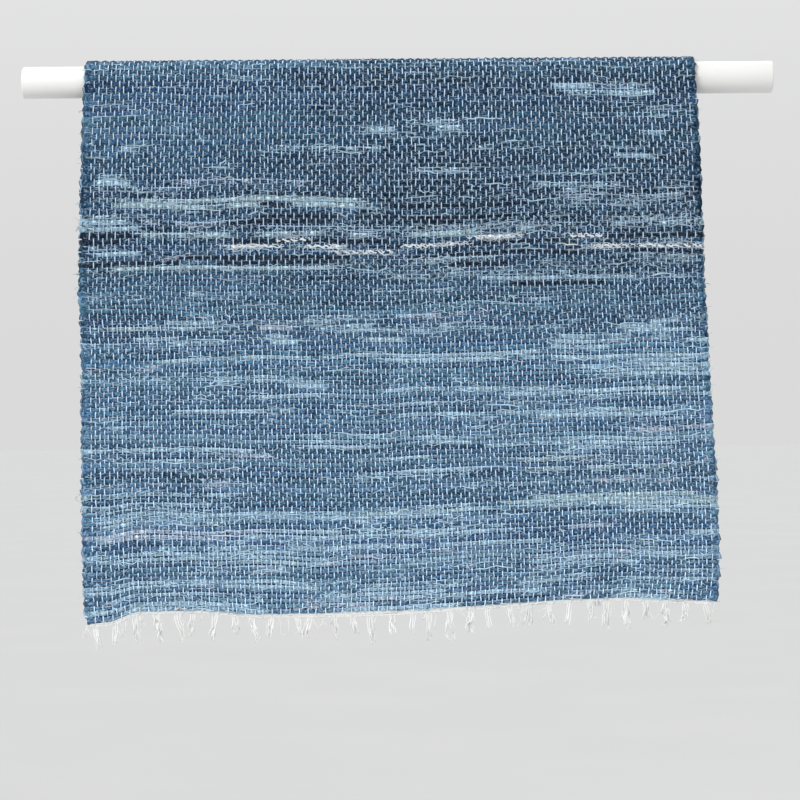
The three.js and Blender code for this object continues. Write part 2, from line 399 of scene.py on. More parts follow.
YARN_STAIN_TINT = (168, 184, 204)
# Dark tints of the sheet inside the weave: painted shade
SHADE_SHEET_SPECKLE = Noise(420, 3)
SHADE_SHEET_TINTS = ((20, 30, 50), (52, 74, 108))
BRUSH = Noise(900, 3)
BRUSH_STRETCH = 0.04
SCUFF = Noise(38, 5, 0.7)
SCUFF_RANGE = Range(0.58, 0.75, 0.0, 0.5)
PAINT_TINTS = ((230, 230, 228), (212, 211, 206))
FLOOR_CLOUD = Noise(1.4, 3)
FLOOR_TINTS = ((223, 223, 223), (228, 228, 227))
UV_MARGIN = 0.06

# Picture: the view of the photo, in its 800 by 800 frame
PICTURE_SIDE = 800
PIXELS_PER_MM = 0.91
AXIS_PIXEL_Y = 77
CAMERA_DISTANCE = 2600
CAMERA_ROLL = math.radians(0.45)
SENSOR = 36

# Stage: a wide floor, a sky that pales upward, and lights placed in metres
FLOOR_Z = -1600
FLOOR_RADIUS = 60000
FLOOR_SIDES = 64
SKY_HORIZON = (0.70, 0.70, 0.70, 1)
SKY_TOP = (0.955, 0.96, 0.965, 1)
SKY_RANGE = Range(0.0, 0.5, 0.0, 1.0)
Light = namedtuple("Light", "name place size power")
LIGHTS = (
    Light("key", (-1.6, -2.2, 1.5), 1.5, 6),
    Light("back_fill", (1.2, 2.6, 1.4), 2.0, 4),
)
LIGHT_AIM = (0, 0, -0.3)
LIGHT_SPREAD = math.radians(50)

rng = np.random.default_rng(5)


def linear(color):
    """Screen colours of 8 bits as linear light."""
    share = np.asarray(color, float) / 255
    return np.where(share <= 0.04045, share / 12.92, ((share + 0.055) / 1.055) ** 2.4)


def smooth(knots, samples):
    """Curves through evenly spaced knots, one a row, eased between them."""
    place = np.linspace(0, knots.shape[1] - CURVE_STOP, samples)
    low = place.astype(int)
    ease = (1 - np.cos((place - low) * math.pi)) / 2
    return knots[:, low] * (1 - ease) + knots[:, low + 1] * ease


def wander(rows, samples, every):
    """Smooth random curves from -1 to 1: one a row, with a new turn every so many samples."""
    turns = max(2, int(samples / every) + 2)
    return smooth(rng.uniform(-1, 1, (rows, turns)), samples)


def curves(rows, samples, kind):
    """Smooth random curves of a kind, one a row."""
    return kind.reach * wander(rows, samples, kind.every)


def curve(samples, kind):
    """One smooth random curve of a kind."""
    return curves(1, samples, kind)[0]


def wander_sheet(rows, columns, every_row, every_column):
    """A smooth random sheet from -1 to 1, with new turns both ways."""
    turns = int(rows / every_row) + 2
    return smooth(wander(turns, columns, every_column).T, rows).T


# Cloth


def hem_drop(across, side, hems=HEMS):
    """How far below the pole's axis the hem hangs."""
    front = np.interp(across, hems["across"], hems["front"])
    back = np.interp(across, hems["across"], hems["back"])
    return np.where(side == FRONT, front, back)


def ripple_depth(across, side, share):
    """How far the cloth stands outward of its plain drop."""
    depth = np.zeros_like(share)
    for ripple in RIPPLES:
        away = np.clip(np.abs(across - ripple.across) / ripple.half, 0, 1)
        bump = ripple.depth * (1 + np.cos(math.pi * away)) / 2
        depth += np.where(side == ripple.side, bump, 0)
    return depth * np.clip(share, 0, 1) ** RIPPLE_FADE


def cloth_points(across, run, lift):
    """Points of the hung cloth: across it, along it from the front hem, and off its middle layer."""
    across, run, lift = np.broadcast_arrays(*(np.asarray(a, float) for a in (across, run, lift)))
    side = np.where(run < FRONT_RUN + FOLD_RUN / 2, FRONT, BACK)
    below_front = (FRONT_RUN - run) / FRONT_RUN
    below_back = (run - FRONT_RUN - FOLD_RUN) / BACK_RUN
    share = np.maximum(np.where(side == FRONT, below_front, below_back), 0)
    turn = np.clip((run - FRONT_RUN) / FOLD_RADIUS, 0, math.pi) - math.pi / 2
    trend = hem_drop(across, side, HEM_TREND)
    drop = share * trend + share**HEM_SETTLE * (hem_drop(across, side) - trend)
    along = np.clip(side * share, -1, 1)
    left = np.interp(along, SIDE_EDGES["along"], SIDE_EDGES["left"])
    right = np.interp(along, SIDE_EDGES["along"], SIDE_EDGES["right"])
    reach = FOLD_RADIUS + lift
    x = left + (right - left) * across
    y = reach * np.sin(turn) + side * ripple_depth(across, side, share)
    z = reach * np.cos(turn) - drop
    return np.stack([x, y, z], axis=-1)


def by_drop(table, column, run):
    """A column of a table of drops, at places along the cloth on either side of the pole."""
    drop = np.maximum(FRONT_RUN - run, run - FRONT_RUN - FOLD_RUN)
    return np.interp(drop, table["drop"], table[column])


def beyond_hem(side, away):
    """The place along the cloth that is so far past a hem."""
    return -away if side == FRONT else CLOTH_RUN + away


# Mesh making


def add_piece(name, points, faces, material, attributes=None, uv=None):
    """A smooth mesh piece of the object, in metres, riding on its only body."""
    mesh = bpy.data.meshes.new(name)
    mesh.from_pydata(np.asarray(points).reshape(-1, 3) * MM, [], faces)
    mesh.shade_smooth()
    for key, values in (attributes or {}).items():
        made = mesh.attributes.new(key, "FLOAT_VECTOR", "POINT")
        made.data.foreach_set("vector", np.asarray(values, np.float32).ravel())
    if uv is not None:
        layer = mesh.uv_layers.new(name="OFBake")
        layer.data.foreach_set("uv", np.asarray(uv, np.float32).ravel())
    mesh.materials.append(material)
    piece = bpy.data.objects.new(name, mesh)
    bpy.context.scene.collection.objects.link(piece)
    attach(piece, "root")
    return piece


def quads_between(number):
    """Faces between each ring of point numbers and the next, in one tube or in many."""
    following = np.roll(number, -1, axis=-1)
    near, near_next = number[..., :-1, :], following[..., :-1, :]
    far, far_next = number[..., 1:, :], following[..., 1:, :]
    return np.stack([near, near_next, far_next, far], axis=-1).reshape(-1, 4).tolist()


def add_tubes(name, rings, material, attributes):
    """Closed tubes through rings[tube, step, side]. Each tube has its own band of the map."""
    tubes, steps, sides, _ = rings.shape
    number = np.arange(tubes * steps * sides).reshape(tubes, steps, sides)
    first = number[:, 0, ::-1].reshape(-1, sides)
    last = number[:, -1].reshape(-1, sides)
    faces = quads_between(number) + first.tolist() + last.tolist()

    around = np.arange(sides + 1) / sides
    along = np.linspace(0, 1, steps)
    band = (np.arange(tubes)[:, None] + UV_MARGIN + (1 - 2 * UV_MARGIN) * around) / tubes
    u, v = np.broadcast_arrays(along[None, :, None], band[:, None, :])
    grid = np.stack([u, v], axis=-1)
    quad_uv = np.stack(
        [grid[:, :-1, :-1], grid[:, :-1, 1:], grid[:, 1:, 1:], grid[:, 1:, :-1]], axis=3
    ).reshape(-1, 2)
    first_uv = grid[:, 0, sides - 1 :: -1].reshape(-1, 2)
    last_uv = grid[:, -1, :sides].reshape(-1, 2)
    uv = np.concatenate([quad_uv, first_uv, last_uv])
    return add_piece(name, rings, faces, material, attributes, uv)


def sweep(paths, radii, sides, reference):
    """Rings of a round section along paths[tube, step], and their places along and around.

    The last side, where the place around starts anew, faces the cross of the path and the reference.
    """
    tangent = np.gradient(paths, axis=1)
    tangent /= np.linalg.norm(tangent, axis=-1, keepdims=True)
    reference = np.broadcast_to(np.asarray(reference, float), paths.shape)
    across = reference - (reference * tangent).sum(-1, keepdims=True) * tangent
    across /= np.linalg.norm(across, axis=-1, keepdims=True)
    out = np.cross(tangent, across)
    angle = math.pi / 2 + 2 * math.pi * (np.arange(sides) + 0.5) / sides
    radii = np.broadcast_to(radii, paths.shape[:2])[:, :, None, None]
    turn = across[:, :, None] * np.cos(angle)[:, None] + out[:, :, None] * np.sin(angle)[:, None]
    rings = paths[:, :, None] + radii * turn
    stride = np.linalg.norm(np.diff(paths, axis=1), axis=-1)
    length = np.concatenate([np.zeros((len(paths), 1)), np.cumsum(stride, axis=1)], axis=1)
    seed = rng.uniform(0, SEED_SPAN, (len(paths), 1, 1))
    lay = np.broadcast_arrays(length[:, :, None], (np.arange(sides) / sides)[None, None], seed)
    return rings, np.stack(lay, axis=-1)


# Materials


def new_material(name):
    """An empty material and its node tree."""
    material = bpy.data.materials.new(name)
    material.use_nodes = True
    material.node_tree.nodes.clear()
    return material, material.node_tree


def add_node(tree, kind, inputs=None, **settings):
    """A node with its settings, and with its inputs linked or set."""
    node = tree.nodes.new("ShaderNode" + kind)
    for key, value in settings.items():
        setattr(node, key, value)
    for key, value in (inputs or {}).items():
        if isinstance(value, bpy.types.NodeSocket):
            tree.links.new(value, node.inputs[key])
        else:
            node.inputs[key].default_value = value
    return node


def maths(tree, operation, first, second=0.0, third=0.0):
    """The result of a sum or product of values."""
    inputs = {0: first, 1: second, 2: third}
    return add_node(tree, "Math", inputs, operation=operation).outputs[0]


def remap(tree, value, span):
    """A value carried smoothly from one range to another, and held at its ends."""
    inputs = {0: value, 1: span.low, 2: span.high, 3: span.to_low, 4: span.to_high}
    node = add_node(tree, "MapRange", inputs, interpolation_type="SMOOTHSTEP")
    return node.outputs[0]


def mix(tree, share, first, second, blend="MIX"):
    """A blend of two colours."""
    inputs = {0: share, 6: first, 7: second}
    node = add_node(tree, "Mix", inputs, data_type="RGBA", blend_type=blend)
    return node.outputs[2]


def noise(tree, place, kind):
    """Soft noise at a place, from 0 to 1."""
    inputs = {"Vector": place, "Scale": kind.scale, "Detail": kind.detail}
    inputs["Roughness"] = kind.roughness
    return add_node(tree, "TexNoise", inputs).outputs["Fac"]


def attribute(tree, name, output):
    """A value that the mesh carries at each point."""
    return add_node(tree, "Attribute", attribute_name=name).outputs[output]


def vector(tree, x, y, z):
    """A vector from its three parts."""
    return add_node(tree, "CombineXYZ", {0: x, 1: y, 2: z}).outputs[0]


def parts(tree, value):
    """The three parts of a vector."""
    return tuple(add_node(tree, "SeparateXYZ", {0: value}).outputs)


def object_place(tree):
    """The place on the object, in metres."""
    return add_node(tree, "TexCoord").outputs["Object"]


def finish_surface(tree, color, height, surface):
    """The shader of a surface, with bump from a height."""
    bump = {"Strength": surface.bump, "Distance": surface.depth, "Height": height}
    inputs = {
        "Base Color": color,
        "Roughness": surface.roughness,
        "Specular IOR Level": surface.specular,
        "Sheen Weight": surface.sheen,
        "Normal": add_node(tree, "Bump", bump).outputs[0],
    }
    shader = add_node(tree, "BsdfPrincipled", inputs)
    add_node(tree, "OutputMaterial", {0: shader.outputs[0]})


def rgba(color):
    """An 8-bit screen colour as a shader's value."""
    return (*linear(color), 1)


def denim_material():
    """Worn denim strips: the cloth's two sides, slubs and twill, pale flecks and raw edges, painted
    shade.

    The mesh carries the place along, around and a seed as lay, and as state how far the other side
    is turned out, how much shade is painted on it in dents and at side edges, and how fuzzy it is.
    """
    material, tree = new_material("denim_strips")
    along, around, seed = parts(tree, attribute(tree, "lay", "Vector"))
    turned_out, painted_shade, fuzziness = parts(tree, attribute(tree, "state", "Vector"))
    girth = maths(tree, "MULTIPLY", around, STRIP_GIRTH)

    def grain_noise(grain, shift=0.0):
        """Noise along and around each strip, its own by its seed."""
        x = maths(tree, "MULTIPLY", along, grain.along)
        y = maths(tree, "MULTIPLY_ADD", girth, grain.around, grain.shift + shift)
        kind = Noise(1.0, grain.detail, DENIM_GRAIN_ROUGHNESS)
        return noise(tree, vector(tree, x, y, seed), kind)

    shoulder = maths(tree, "ABSOLUTE", maths(tree, "SUBTRACT", around, 0.5))
    reach = maths(tree, "MULTIPLY", turned_out, remap(tree, shoulder, SHOULDER_RANGE))
    patch = maths(tree, "SUBTRACT", grain_noise(PATCH_GRAIN), 0.5)
    fuzz = maths(tree, "SUBTRACT", grain_noise(FUZZ_GRAIN), 0.5)
    shown = maths(tree, "MULTIPLY_ADD", patch, PATCH_REACH, reach)
    shown = maths(tree, "MULTIPLY_ADD", fuzz, FUZZ_REACH, shown)
    outer, other = attribute(tree, "tint", "Color"), attribute(tree, "reverse", "Color")
    color = mix(tree, remap(tree, shown, SHOWN_RANGE), outer, other)

    slub = grain_noise(SLUB_GRAIN)
    # Painted shade in the dents under the warps, and a share of it at the side edges
    lit = maths(tree, "MULTIPLY_ADD", painted_shade, -CREASE_SHADE, 1.0)
    shade = maths(tree, "MULTIPLY", remap(tree, slub, SLUB_RANGE), lit)
    speck_and_gap_shade = remap(tree, grain_noise(SPECK_GRAIN), SPECK_RANGE)
    # Painted shade between the picks: darker toward each strip's sides
    speck_and_gap_shade = maths(tree, "MULTIPLY", speck_and_gap_shade, remap(tree, shoulder, GAP_SHADE_RANGE))
    shade = maths(tree, "MULTIPLY", shade, speck_and_gap_shade)
    color = mix(tree, 1.0, color, vector(tree, shade, shade, shade), "MULTIPLY")

    fleck = grain_noise(FLECK_GRAIN)
    flecked = maths(tree, "MULTIPLY", remap(tree, fleck, FLECK_RANGE), fuzziness)
    color = mix(tree, flecked, color, rgba(FLECK_TINT))
    diagonal = maths(tree, "ADD", along, girth)
    twill = maths(tree, "SINE", maths(tree, "MULTIPLY", diagonal, TWILL_WAVE))
    twill = maths(tree, "MULTIPLY_ADD", twill, 0.5, 0.5)
    color = mix(tree, maths(tree, "MULTIPLY", twill, TWILL_SHOW), color, rgba(FLECK_TINT))

    for middle, shift in RAW_EDGES:
        drift = grain_noise(DRIFT_GRAIN, shift)
        line = maths(tree, "MULTIPLY_ADD", drift, RAW_EDGE_DRIFT, middle - RAW_EDGE_DRIFT / 2)
        away = maths(tree, "ABSOLUTE", maths(tree, "SUBTRACT", around, line))
        broken = maths(tree, "MULTIPLY_ADD", fuzz, BREAK_FUZZ, grain_noise(BREAK_GRAIN, shift * 2))
        broken = maths(tree, "MULTIPLY_ADD", turned_out, BREAK_TURNED, broken)
        frayed = remap(tree, broken, BREAK_RANGE)
        edge = maths(tree, "MULTIPLY", remap(tree, away, RAW_EDGE_RANGE), frayed)
        color = mix(tree, edge, color, rgba(FRAY_TINT))

    relief = maths(tree, "ADD", slub, fleck)
    height = maths(tree, "MULTIPLY_ADD", twill, TWILL_HEIGHT, relief)
    finish_surface(tree, color, height, DENIM_SURFACE)
    return material


def yarn_material():
    """Twisted yarn in the tint that its mesh carries, with soft ply lines and traces of blue."""
    material, tree = new_material("cotton_yarn")
    along, around, seed = parts(tree, attribute(tree, "lay", "Vector"))
    turn = maths(tree, "MULTIPLY", around, 2 * math.pi)
    phase = maths(tree, "MULTIPLY_ADD", along, PLY_WAVE, turn)
    ply = maths(tree, "MULTIPLY_ADD", maths(tree, "SINE", phase), 0.5, 0.5)
    fuzz_around = maths(tree, "MULTIPLY", around, YARN_FUZZ_AROUND)
    fuzz = noise(tree, vector(tree, along, fuzz_around, seed), YARN_FUZZ)
    stain_along = maths(tree, "MULTIPLY", along, YARN_STAIN_ALONG)
    stain = noise(tree, vector(tree, stain_along, seed, YARN_STAIN_LAYER), YARN_STAIN)
    tint = attribute(tree, "tint", "Color")
    color = mix(tree, maths(tree, "MULTIPLY", ply, PLY_SHOW), tint, rgba(PLY_TINT))
    color = mix(tree, remap(tree, stain, YARN_STAIN_RANGE), color, rgba(YARN_STAIN_TINT))
    height = maths(tree, "MULTIPLY_ADD", fuzz, YARN_FUZZ_HEIGHT, ply)
    finish_surface(tree, color, height, YARN_SURFACE)
    return material


def cloudy_material(name, kind, tints, surface):
    """Two tints in soft clouds, for the dark sheet of painted shade inside the weave and for the floor.
    """
    material, tree = new_material(name)
    cloud = noise(tree, object_place(tree), kind)
    finish_surface(tree, mix(tree, cloud, *map(rgba, tints)), cloud, surface)
    return material


def paint_material():
    """White satin paint over wood, with faint brush lines and a few scuffs."""
    material, tree = new_material("white_paint")
    place = object_place(tree)
    x, y, z = parts(tree, place)
    stretched = vector(tree, maths(tree, "MULTIPLY", x, BRUSH_STRETCH), y, z)
    scuffed = remap(tree, noise(tree, place, SCUFF), SCUFF_RANGE)
    color = mix(tree, scuffed, *map(rgba, PAINT_TINTS))
    finish_surface(tree, color, noise(tree, stretched, BRUSH), PAINT_SURFACE)
    return material


DENIM = denim_material()
YARN = yarn_material()
# Painted shade: the dark sheet inside the weave
SHADE_SHEET = cloudy_material("weave_painted_shade", SHADE_SHEET_SPECKLE, SHADE_SHEET_TINTS, SHADE_SHEET_SURFACE)
PAINT = paint_material()


# Places of picks and warps


def place_picks():
    """The edges of the picks along the cloth, uneven and wider near the pole."""
    edges = [0.0]
    while edges[-1] < CLOTH_RUN:
        pitch = by_drop(PICK_PITCH, "pitch", edges[-1])
        edges.append(edges[-1] + pitch * (1 + PICK_UNEVENNESS * rng.uniform(-1, 1)))
    return np.array(edges) * CLOTH_RUN / edges[-1]


def place_wobble():
    """How far each pick strays along the cloth at each warp, a little like the picks before it."""
    stray = curves(PICKS, WARPS, PICK_WOBBLE)
    stray = sum(np.roll(stray, step, axis=0) for step in range(PICKS_ALIKE))
    hem_away = np.minimum(pick_runs, CLOTH_RUN - pick_runs)
    swell = SWELL * np.clip(hem_away / SWELL_FADE, 0, 1)
    sheet = wander_sheet(PICKS, WARPS, SWELL_EVERY_PICKS, SWELL_EVERY_WARPS)
    return stray + swell[:, None] * sheet


pick_edges = place_picks()
PICKS = len(pick_edges) - 1
pick_runs = (pick_edges[:-1] + pick_edges[1:]) / 2
pick_halves = np.diff(pick_edges) / 2
warp_x = np.linspace(SELVAGE_LEFT, CLOTH_WIDTH - SELVAGE_RIGHT, WARPS)
warp_x_at_pick = warp_x + curves(WARPS, PICKS, WARP_WANDER).T
wobble = place_wobble()
warp_over = (np.arange(PICKS)[:, None] + np.arange(WARPS)) % 2 == 0


# Streaks: how much another side or cloth shows at each pick and warp, and in what colour

turned = np.zeros((PICKS, WARPS))
navy = np.zeros((PICKS, WARPS))
reverse = np.broadcast_to(linear(TINTS["pale"]), (PICKS, WARPS, 3)).copy()


def lay_streak(pick, left, right, strength, tint):
    """A streak on one pick, patchy and thinning out at its ends, over what was laid before."""
    x = warp_x_at_pick[pick]
    ends = np.minimum(x - left, right - x) / STREAK_FEATHER
    share = np.clip(ends, 0, 1) * strength * (1 + curve(WARPS, STREAK_PATCHES))
    covers = np.clip(share, 0, 1)
    if tint == "navy":
        navy[pick] = np.maximum(navy[pick], covers)
        turned[pick] *= 1 - NAVY_HIDES * covers
    else:
        reverse[pick][share > 0] = linear(TINTS[tint])
        turned[pick] = np.maximum(turned[pick], share)
        navy[pick] *= 1 - covers


def lay_stray_streaks():
    """Weaker streaks at random places, more of them toward the hems."""
    strays = rng.poisson(by_drop(STRAY_STREAKS, "a_pick", pick_runs))
    strongest = by_drop(STRAY_STREAKS, "strongest", pick_runs)
    for pick in range(PICKS):
        for _ in range(strays[pick]):
            length = rng.uniform(*STRAY_LENGTH)
            left = rng.uniform(-length / 2, CLOTH_WIDTH - length / 2)
            tint = rng.choice(STRAY_TINTS)
            strength = rng.uniform(STRAY_WEAKEST, strongest[pick])
            strength *= STRAY_NAVY_SHARE if tint == "navy" else 1
            lay_streak(pick, left, left + length, strength, tint)


def streak_hem(streak):
    """The front hem's drop below a streak's middle, as the picks keep to it."""
    across = (streak.left + streak.right) / 2 / CLOTH_WIDTH + 0.5
    return hem_drop(across, FRONT, HEM_TREND)


def lay_charted_streaks():
    """The streaks of the photo, on each pick that they reach, with ragged ends."""
    for streak in STREAKS:
        drops = (FRONT_RUN - pick_runs) / FRONT_RUN * streak_hem(streak)
        middle = (streak.top + streak.bottom) / 2
        reach = max((streak.bottom - streak.top) / 2, np.abs(drops - middle).min())
        most = min(STREAK_END_JITTER, STREAK_END_SHARE * (streak.right - streak.left))
        for pick in np.flatnonzero(np.abs(drops - middle) <= reach):
            jitter = most * rng.uniform(-1, 1, 2) + CLOTH_WIDTH / 2
            strength = rng.uniform(*STREAK_STRENGTH) * TINT_STRENGTH.get(streak.tint, 1)
            left, right = streak.left + jitter[0], streak.right + jitter[1]
            lay_streak(pick, left, right, strength, streak.tint)


lay_stray_streaks()
lay_charted_streaks()


# Denim strips


def there_and_back(values):
    """Values along one long weft, by pick and warp: it turns back at each side edge."""
    rows = values.reshape(PICKS, WARPS).copy()
    rows[1::2] = rows[1::2, ::-1]
    return rows


def pick_tints():
    """The strips' colours at each pick and warp: by band of the rug, by strip and by hue."""
    on_front = pick_runs < FRONT_RUN + FOLD_RUN / 2
    front = by_drop(FRONT_TONES, "tone", pick_runs)
    back = by_drop(BACK_TONES, "tone", pick_runs)
    drop = FRONT_RUN - pick_runs
    tilt = TONE_TILT * np.clip(1 - np.abs(drop) / TONE_TILT_DROP, 0, 1)
    tones = np.where(on_front, front, back)[:, None] + tilt[:, None] * np.linspace(0.5, -0.5, WARPS)
    x = warp_x - CLOTH_WIDTH / 2
    for patch in PATCHES:
        away_x = (x - patch.middle) / patch.half_width
        away = np.hypot(away_x, (drop[:, None] - patch.drop) / patch.half_drop)
        tones += patch.tone * np.cos(np.minimum(away, 1) * math.pi / 2)

    places = PICKS * WARPS
    joins = np.cumsum(rng.uniform(*STRIP_LENGTH, places // STRIP_LENGTH[0]))
    strip = np.searchsorted(joins, np.arange(places))
    own_tone = rng.normal(0, TONE_SPREAD, len(joins))[strip]
    tones += there_and_back(own_tone + curve(places, TONE_MOTTLE))
    tones = np.clip(tones + rng.normal(0, CELL_MOTTLE, tones.shape), 0, 1)
    colors = []
    for name in ("red", "green", "blue"):
        own_hue = rng.normal(0, HUE_SPREAD, len(joins))[strip]
        hue = own_hue + curve(places, HUE_MOTTLE)
        screen = np.interp(tones, TONES["tone"], TONES[name])
        colors.append(linear(screen) * (1 + there_and_back(hue)))
    return np.stack(colors, axis=-1) * (1 - navy[..., None]) + linear(NAVY) * navy[..., None]


def pick_paths():
    """Each pick's path in the flat cloth, round to its neighbour at the side edges."""
    number = np.arange(PICKS)
    joins_next = np.stack([number % 2 == 1, number % 2 == 0], axis=1)
    turn = np.where(joins_next, 1, -1)
    turn[0, 0] = 0
    turn[-1] = np.where(joins_next[-1], 0, -1)
    edge_out = SELVAGE_JITTER * rng.uniform(-1, 1, (2, PICKS + 1))
    pair = number[:, None] + joins_next
    away = np.array(SELVAGE_AWAY)
    bend = np.array(SELVAGE_TURN) * pick_halves[:, None]
    left_x = SELVAGE_LEFT * away[::-1] - edge_out[0, pair[:, :1]]
    right_x = CLOTH_WIDTH - SELVAGE_RIGHT * away + edge_out[1, pair[:, 1:]]
    left_run = bend[:, ::-1] * turn[:, :1] + wobble[:, :1]
    right_run = bend * turn[:, 1:] + wobble[:, -1:]
    x = np.concatenate([left_x, warp_x_at_pick, right_x], axis=1)
    run = np.concatenate([left_run, wobble, right_run], axis=1) + pick_runs[:, None]
    return x, run


def with_ends(values):
    """Values at the warps, held on past the first and last warp to the side edges."""
    ends = len(SELVAGE_AWAY)
    first = np.repeat(values[:, :1], ends, axis=1)
    last = np.repeat(values[:, -1:], ends, axis=1)
    return np.concatenate([first, values, last], axis=1)


def make_picks():
    """The denim strips: crumpled tubes, dented under each warp and bulging between."""
    x, run = pick_paths()
    steps = x.shape[1]
    over = with_ends(np.where(warp_over, 1.0, -1.0))[:, :, None]
    ends = len(SELVAGE_AWAY)
    over[:, :ends] = 0
    over[:, -ends:] = 0
    overlap = np.full(steps, PICK_OVERLAP)
    overlap[:ends] = SELVAGE_OVERLAP
    overlap[-ends:] = SELVAGE_OVERLAP
    tangent = np.stack([np.gradient(x, axis=1), np.gradient(run, axis=1)], axis=-1)
    tangent /= np.linalg.norm(tangent, axis=-1, keepdims=True)

    share = np.arange(PICK_SIDES) / PICK_SIDES
    rows = PICKS * PICK_SIDES
    crumple = curves(rows, steps, PICK_FOLD) + curves(rows, steps, PICK_CRUSH)
    crumple = crumple.reshape(PICKS, PICK_SIDES, steps).transpose(0, 2, 1)
    radius = 1 + CRUMPLE * crumple
    angle = 2 * math.pi * share + curves(PICKS, steps, PICK_TWIST)[:, :, None]
    outward = -np.cos(angle) * radius
    dented = outward * over > 0
    wide = np.sin(angle) * radius * overlap[:, None] * pick_halves[:, None, None]
    lift = PICK_HALF_THICKNESS * np.where(dented, outward * DENT, outward) - PICK_SHIFT * over
    ring_x = x[:, :, None] - tangent[:, :, 1:] * wide
    ring_run = run[:, :, None] + tangent[:, :, :1] * wide
    rings = cloth_points(ring_x / CLOTH_WIDTH, ring_run, lift)

    seed = rng.uniform(0, SEED_SPAN, (PICKS, 1, 1))
    fuzz = by_drop(FUZZ, "share", pick_runs)[:, None] * (1 - NAVY_HIDES * navy)
    # Painted shade: full in the dents, a share of it where the strips turn at the side edges
    painted_shade = np.where(over == 0, SELVAGE_DARKENING, dented)
    state = np.broadcast_arrays(with_ends(turned)[:, :, None], painted_shade, with_ends(fuzz)[:, :, None])
    attributes = {
        "lay": np.stack(np.broadcast_arrays(x[:, :, None], share, seed), axis=-1),
        "state": np.stack(state, axis=-1),
        "tint": np.broadcast_to(with_ends(pick_tints())[:, :, None], rings.shape),
        "reverse": np.broadcast_to(with_ends(reverse)[:, :, None], rings.shape),
    }
    pieces = []
    for start in range(0, PICKS, PICKS_PER_PIECE):
        some = slice(start, start + PICKS_PER_PIECE)
        name = f"weft_strips_{start // PICKS_PER_PIECE + 1:02d}"
        part = {key: values[some] for key, values in attributes.items()}
        pieces.append(add_tubes(name, rings[some], DENIM, part))
    return pieces


def make_shade_sheet():
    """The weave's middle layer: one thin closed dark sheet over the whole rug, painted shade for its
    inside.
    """
    inset = SHADE_SHEET_INSET / CLOTH_WIDTH
    across = np.linspace(inset, 1 - inset, SHADE_SHEET_COLUMNS + 1)
    run = np.linspace(SHADE_SHEET_INSET, CLOTH_RUN - SHADE_SHEET_INSET, SHADE_SHEET_ROWS + 1)
    half = SHADE_SHEET_THICKNESS / 2
    outer = cloth_points(across[None], run[:, None], half)
    inner = cloth_points(across[None], run[:, None], -half)
    loop = np.concatenate([outer, inner[:, ::-1]], axis=1)
    size = loop.shape[1]
    number = np.arange(loop.shape[0] * size).reshape(-1, size)
    ladder = np.arange(SHADE_SHEET_COLUMNS)
    caps = []
    for row, flipped in ((number[0], True), (number[-1], False)):
        rungs = [row[ladder], row[ladder + 1], row[size - 2 - ladder], row[size - 1 - ladder]]
        strip = np.stack(rungs, axis=-1)
        caps += (strip[:, ::-1] if flipped else strip).tolist()
    return add_piece("weave_shade_sheet", loop, quads_between(number) + caps, SHADE_SHEET)


# Warp, heading and fringe


def warp_paths(parity):
    """Paths and brightness of every other warp: two places over a pick, then one under the next."""
    number = np.arange(PICKS)
    over = number % 2 == parity
    picks = np.repeat(number, np.where(over, 2, 1))
    side = np.concatenate([(-1, 1) if passes_over else (0,) for passes_over in over])
    own = np.arange(parity, WARPS, 2)
    reach = HEADING_GAP + HEADING_ROWS[-1]
    run = pick_runs[picks] + side * WARP_FLAT * 2 * pick_halves[picks]
    run = np.concatenate([[-reach], run, [CLOTH_RUN + reach]])
    lift = np.where(over[picks], WARP_LIFT, -WARP_LIFT)
    lift = np.concatenate([[0], lift, [0]])
    picks = np.concatenate([[0], picks, [PICKS - 1]])
    shape = (len(picks), len(own))
    x = warp_x_at_pick[picks][:, own] + WARP_JITTER * rng.uniform(-1, 1, shape)
    run = run[:, None] + wobble[picks][:, own] + WARP_JITTER * rng.uniform(-1, 1, shape)
    lift = lift[:, None] * (1 - WARP_SINK * rng.uniform(0, 1, shape))
    paths = cloth_points(x / CLOTH_WIDTH, run, lift).transpose(1, 0, 2)
    return paths, by_drop(PALLOR, "share", run).T


def make_warps():
    """The cotton warp: each yarn lies flat over one pick and dips under the next."""
    pieces = []
    for parity in (0, 1):
        paths, bright = warp_paths(parity)
        rings, lay = sweep(paths, WARP_RADIUS, YARN_SIDES, WARP_REFERENCE)
        bright = bright * (1 + WARP_UNEVENNESS * rng.uniform(-1, 1, bright.shape))
        tint = np.broadcast_to(linear(WARP_TINT) * bright[:, :, None, None], rings.shape)
        for start in range(0, len(paths), WARPS_PER_PIECE):
            some = slice(start, start + WARPS_PER_PIECE)
            name = f"warp_yarns_{len(pieces) + 1}"
            part = {"lay": lay[some], "tint": tint[some]}
            pieces.append(add_tubes(name, rings[some], YARN, part))
    return pieces


def add_yarns(name, paths, radii, sides, reference, color=COTTON, slot="cotton_warp"):
    """Yarns along paths, all of one colour."""
    rings, lay = sweep(np.array(paths), np.array(radii), sides, reference)
    tint = np.broadcast_to(linear(color), rings.shape)
    return add_tubes(name, rings, YARN, {"lay": lay, "tint": tint})


def make_heading(side):
    """Two rows of twined cotton along a hem."""
    x = np.linspace(HEADING_INSET, CLOTH_WIDTH - HEADING_INSET, HEADING_STEPS)
    paths = []
    for row in HEADING_ROWS:
        middle = beyond_hem(side, HEADING_GAP + row)
        uneven = curve(HEADING_STEPS, HEADING_UNEVENNESS)
        for half_turn in (0, math.pi):
            phase = 2 * math.pi * x / HEADING_TWIST_PITCH + half_turn
            run = middle + HEADING_TWIST * np.sin(phase) + uneven
            lift = HEADING_TWIST_LIFT * np.cos(phase)
            paths.append(cloth_points(x / CLOTH_WIDTH, run, lift))
    name = f"heading_{SIDE_NAMES[side]}"
    return add_yarns(name, paths, HEADING_STRAND_RADIUS, YARN_SIDES, HEADING_REFERENCE)


